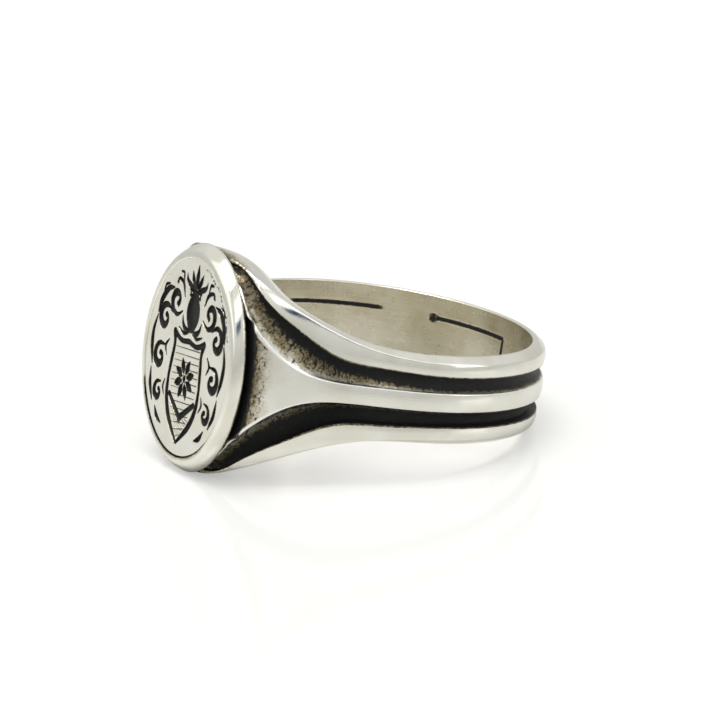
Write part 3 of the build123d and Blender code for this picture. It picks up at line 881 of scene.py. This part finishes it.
def blackened_silver(name, polish=0.1, tint=(1, 1, 1, 1)):
    """Polished silver, worn and pitted, that is black where the recess mask is high, with a painted highlight
    on the ridges and painted glints in the black.
    """
    material, g = new_material(name)
    mm, unrolled = silver_places(g)
    recess = g.mask("recess")
    bore = g.mask("bore")

    fine = g.noise(mm, 5.0, 5.0, 0.75)
    grit = g.noise(mm, 10.0, 2.0, 0.6)
    hair = g.noise(stretched(g, unrolled, 7.0, 2.4), 1.0, 3.0, 0.65)
    coarse = g.noise(mm, 1.5, 4.0, 0.6)
    broad = g.noise(mm, 0.45, 2.0)
    lines = g.noise(stretched(g, unrolled, 0.55, 17.0, 17.0), 1.0, 4.0, 0.6)

    # Black: solid in the grooves, breaking up into hairs and specks towards the rims
    fringe = g.math("ADD", g.math("MULTIPLY", g.math("SUBTRACT", hair, 0.5), 2.2),
                    g.math("MULTIPLY", g.math("SUBTRACT", fine, 0.5), 1.6))
    fringe = g.math("MULTIPLY", fringe, g.ramp(recess, 0.0, 0.3, 0.25, 1.0))
    black = g.ramp(g.math("ADD", recess, fringe), 0.44, 0.60)
    black = g.math("MULTIPLY", black, g.ramp(recess, 0.02, 0.12))
    specks = g.ramp(g.math("ADD", g.math("MULTIPLY", recess, 0.42), grit), 0.70, 0.76)
    specks = g.math("MULTIPLY", specks, g.ramp(recess, 0.02, 0.14))
    black = g.math("MAXIMUM", black, g.math("MULTIPLY", specks, 0.85))
    black = g.math("MULTIPLY", black, g.math("SUBTRACT", 1.0, g.math("MULTIPLY", g.mask("ridge_wear_and_highlight"), 0.9)))

    # Brown tarnish, a wider and softer version of the same
    drift = g.math("ADD", g.math("MULTIPLY", g.math("SUBTRACT", coarse, 0.5), 0.75),
                   g.math("MULTIPLY", g.math("SUBTRACT", fine, 0.5), 0.55))
    stain = g.ramp(g.math("ADD", recess, g.math("MULTIPLY", drift, 0.55)), 0.02, 0.42)
    stain = g.math("MULTIPLY", stain, g.ramp(recess, 0.0, 0.08))
    tarnish = g.mix(g.ramp(g.math("ADD", recess, drift), 0.1, 0.6), PALE_TAN, TAN)

    pit = g.math("MAXIMUM", scattered_pits(g, mm, 2.4, 0.13, 0.075), scattered_pits(g, mm, 5.0, 0.10, 0.05))
    pit = g.math("MULTIPLY", pit, g.math("SUBTRACT", 1.0, bore))

    silver = g.mix(g.ramp(broad, 0.35, 0.68, 0.0, 0.55), SILVER, WARM_SILVER)
    patchy = g.math("ADD", g.math("MULTIPLY", broad, 0.75), g.math("MULTIPLY", lines, 0.45))
    inside = g.mix(g.ramp(patchy, 0.45, 0.8), BORE_TINT, BORE_SHADE)
    silver = g.mix(bore, silver, inside)
    silver = g.add("Mix", {0: 1.0, 6: silver, 7: tint}, data_type="RGBA", blend_type="MULTIPLY").outputs[2]
    colour = g.mix(stain, silver, tarnish)
    # Painted highlight: the colour of the rubbed ridges is lifted towards white.
    colour = g.mix(g.math("MULTIPLY", g.mask("ridge_wear_and_highlight"), 0.8), colour, (1.0, 1.0, 0.98, 1))
    dark = g.math("MAXIMUM", black, g.math("MULTIPLY", pit, 0.85))
    # Painted glints: lighter grey lines in the black, where the lengthwise lines run high.
    glint_streaks = g.math("MULTIPLY", g.ramp(lines, 0.56, 0.74), g.ramp(fine, 0.45, 0.62))
    colour = g.mix(dark, colour, g.mix(glint_streaks, BLACK, PAINTED_GLINT_GREY))

    rough = g.ramp(coarse, 0.3, 0.75, polish, polish + 0.07)
    rough = g.math("ADD", rough, g.math("MULTIPLY", bore, 0.16))
    rough = g.math("ADD", rough, g.math("MULTIPLY", stain, 0.2))
    rough = g.math("ADD", rough, g.math("MULTIPLY", dark, 0.16), clamp=True)
    rub = g.math("ADD", 0.12, g.math("MULTIPLY", stain, 1.1))
    height = g.math("ADD", g.math("MULTIPLY", lines, g.math("ADD", 0.18, g.math("MULTIPLY", recess, 2.2))),
                    g.math("MULTIPLY", fine, rub))
    height = g.math("ADD", height, g.math("MULTIPLY", grit, g.math("MULTIPLY", stain, 0.35)))
    height = g.math("SUBTRACT", height, g.math("MULTIPLY", pit, 0.9))
    bumped = g.add("Bump", {"Strength": 0.4, "Distance": 0.00003, "Height": height}).outputs[0]
    shader = g.add("BsdfPrincipled", {
        "Base Color": colour,
        "Metallic": g.math("SUBTRACT", 1.0, g.math("MULTIPLY", dark, 0.85)),
        "Roughness": rough,
        "Specular IOR Level": g.math("SUBTRACT", 0.5, g.math("MULTIPLY", dark, 0.2)),
        "Normal": bumped,
    })
    g.add("OutputMaterial", {"Surface": shader.outputs[0]})
    return material


def glossy_floor():
    """White acrylic, seen only from above so that no camera is ever blocked by it.

    Where the silver mirrors it, its colour is painted darker and warmer, and darker still towards +X: painted
    shade.
    """
    material, g = new_material("white acrylic")
    x, y, z = g.add("SeparateXYZ", {0: g.add("NewGeometry").outputs["Position"]}).outputs
    # Painted shade: the floor as mirrored in the silver, darker towards +X and a touch lighter far towards
    # +Y.
    shade = g.ramp(x, -0.02, 0.05, 0.64, 0.50)
    shade = g.math("ADD", shade, g.ramp(y, 0.03, 0.12, 0.0, 0.04))
    seen = g.add("LightPath").outputs["Is Camera Ray"]
    mirrored_floor_shade = g.mix(shade, (0, 0, 0, 1), (1.0, 0.99, 0.955, 1))
    colour = g.mix(seen, mirrored_floor_shade, (0.42, 0.42, 0.41, 1))
    glow = g.math("MULTIPLY", seen, 0.41)
    shader = g.add("BsdfPrincipled", {
        "Base Color": colour,
        "Roughness": 0.12,
        "IOR": 1.35,
        "Emission Color": (1, 1, 1, 1),
        "Emission Strength": glow,
    })
    clear = g.add("BsdfTransparent")
    back = g.add("NewGeometry").outputs["Backfacing"]
    mixed = g.add("MixShader", {0: back, 1: shader.outputs[0], 2: clear.outputs[0]})
    g.add("OutputMaterial", {"Surface": mixed.outputs[0]})
    return material


MATERIALS = {
    "polished_silver": blackened_silver("polished silver, blackened in its recesses"),
    "plain_silver": blackened_silver("plain silver", polish=0.3, tint=(0.95, 0.95, 0.94, 1)),
    "silver_solder": blackened_silver("silver solder", polish=0.24, tint=(0.97, 0.95, 0.89, 1)),
}
PLAIN_NODES = ("bearing_ring", "head_wall", "head_back")
for node_name, piece in pieces.items():
    if node_name.endswith("_solder"):
        slot_name = "silver_solder"
    else:
        slot_name = "plain_silver" if node_name in PLAIN_NODES else "polished_silver"
    piece.data.materials.append(MATERIALS[slot_name])

# Floor --------------------------------------------------------------------------------------

FLOOR_REACH = 3.0


def resting_plane():
    """Slope and height (at y = 0) of the floor that touches the head in front and the band behind."""
    places = []
    for node_name in ("bezel_collar", "lower_rail"):
        mesh = pieces[node_name].data
        flat = np.empty(len(mesh.vertices) * 3)
        mesh.vertices.foreach_get("co", flat)
        places.append(flat.reshape(-1, 3))
    front = places[0]
    rear = places[1][places[1][:, 1] > 0]
    low, high = 0.0, 0.6
    for _ in range(30):
        slope = (low + high) / 2
        front_height = (front[:, 2] - slope * front[:, 1]).min()
        rear_height = (rear[:, 2] - slope * rear[:, 1]).min()
        if rear_height > front_height:
            low = slope
        else:
            high = slope
    return slope, min(front_height, rear_height)


def add_floor():
    slope, height = resting_plane()
    reach = FLOOR_REACH
    sides = ((-reach, -reach), (reach, -reach), (reach, reach), (-reach, reach))
    corners = [(x, y, height + slope * y) for x, y in sides]
    mesh = bpy.data.meshes.new("floor")
    mesh.from_pydata(corners, [], [(0, 1, 2, 3)])
    mesh.materials.append(glossy_floor())
    floor = bpy.data.objects.new("floor", mesh)
    bpy.context.scene.collection.objects.link(floor)
    return Vector((0, -slope, 1)).normalized()


floor_up = add_floor()

# Light --------------------------------------------------------------------------------------


def add_softbox(name, azimuth, elevation, distance, size, power, colour=(1, 1, 1)):
    """A square light that faces the ring. Azimuth 0 is in front of the seal, 90 towards +X."""
    a, e = math.radians(azimuth), math.radians(elevation)
    way = Vector((math.sin(a) * math.cos(e), -math.cos(a) * math.cos(e), math.sin(e)))
    data = bpy.data.lights.new(name, "AREA")
    data.energy, data.size, data.color = power, size, colour
    light = bpy.data.objects.new(name, data)
    light.location = way * distance
    light.rotation_mode = "QUATERNION"
    light.rotation_quaternion = way.to_track_quat("Z", "Y")
    bpy.context.scene.collection.objects.link(light)


add_softbox("key", 0, 72, 0.4, 0.22, 1.1)


def tent_window(g, azimuth, elevation, middle, half, soft=4.0):
    """A soft-edged rectangle of the light tent, in degrees: 1 inside it and 0 outside."""
    def band(value, centre, reach):
        gap = g.math("ABSOLUTE", g.math("SUBTRACT", value, centre))
        return g.ramp(gap, reach - soft / 2, reach + soft / 2, 1.0, 0.0)
    return g.math("MULTIPLY", band(azimuth, middle[0], half[0]), band(elevation, middle[1], half[1]))


def add_tent():
    """A warm light tent with bright openings and a dark blue gap beside them, white behind the ring."""
    world = bpy.data.worlds.new("studio")
    bpy.context.scene.world = world
    world.use_nodes = True
    g = Graph(world.node_tree)
    way = g.add("TexCoord").outputs["Generated"]
    up = g.add("VectorMath", {0: way, 1: floor_up}, operation="DOT_PRODUCT").outputs["Value"]
    x, y, z = g.add("SeparateXYZ", {0: way}).outputs
    azimuth = g.math("DEGREES", g.math("ARCTAN2", x, g.math("MULTIPLY", y, -1.0)))
    elevation = g.math("DEGREES", g.math("ARCSINE", up))
    tone = g.ramp(up, -0.1, 0.9, 0.62, 0.84)
    tent = g.mix(tone, (0, 0, 0, 1), (1.0, 0.99, 0.95, 1))
    for middle, half, colour in TENT_WINDOWS:
        tent = g.mix(tent_window(g, azimuth, elevation, middle, half), tent, colour)
    lit = g.add("Background", {0: tent, 1: 1.0})
    white = g.add("Background", {0: (1, 1, 1, 1), 1: 1.0})
    seen = g.add("LightPath").outputs["Is Camera Ray"]
    mixed = g.add("MixShader", {0: seen, 1: lit.outputs[0], 2: white.outputs[0]})
    g.add("OutputWorld", {0: mixed.outputs[0]})


# Azimuth and elevation of the middle, half width and height, and colour
TENT_WINDOWS = [
    ((130, 45), (40, 6), (1.5, 1.5, 1.48, 1)),
    ((78, 47), (24, 9), (1.75, 1.75, 1.73, 1)),
    ((128, 20), (14, 11), (1.7, 1.7, 1.68, 1)),
    ((78, 32), (17, 5), (0.015, 0.035, 0.13, 1)),
    ((-14, 38), (32, 29), (1.25, 1.25, 1.2, 1)),
    ((30, 66), (12, 5), (0.04, 0.06, 0.13, 1)),
]

add_tent()
bpy.context.scene.view_settings.view_transform = "Standard"
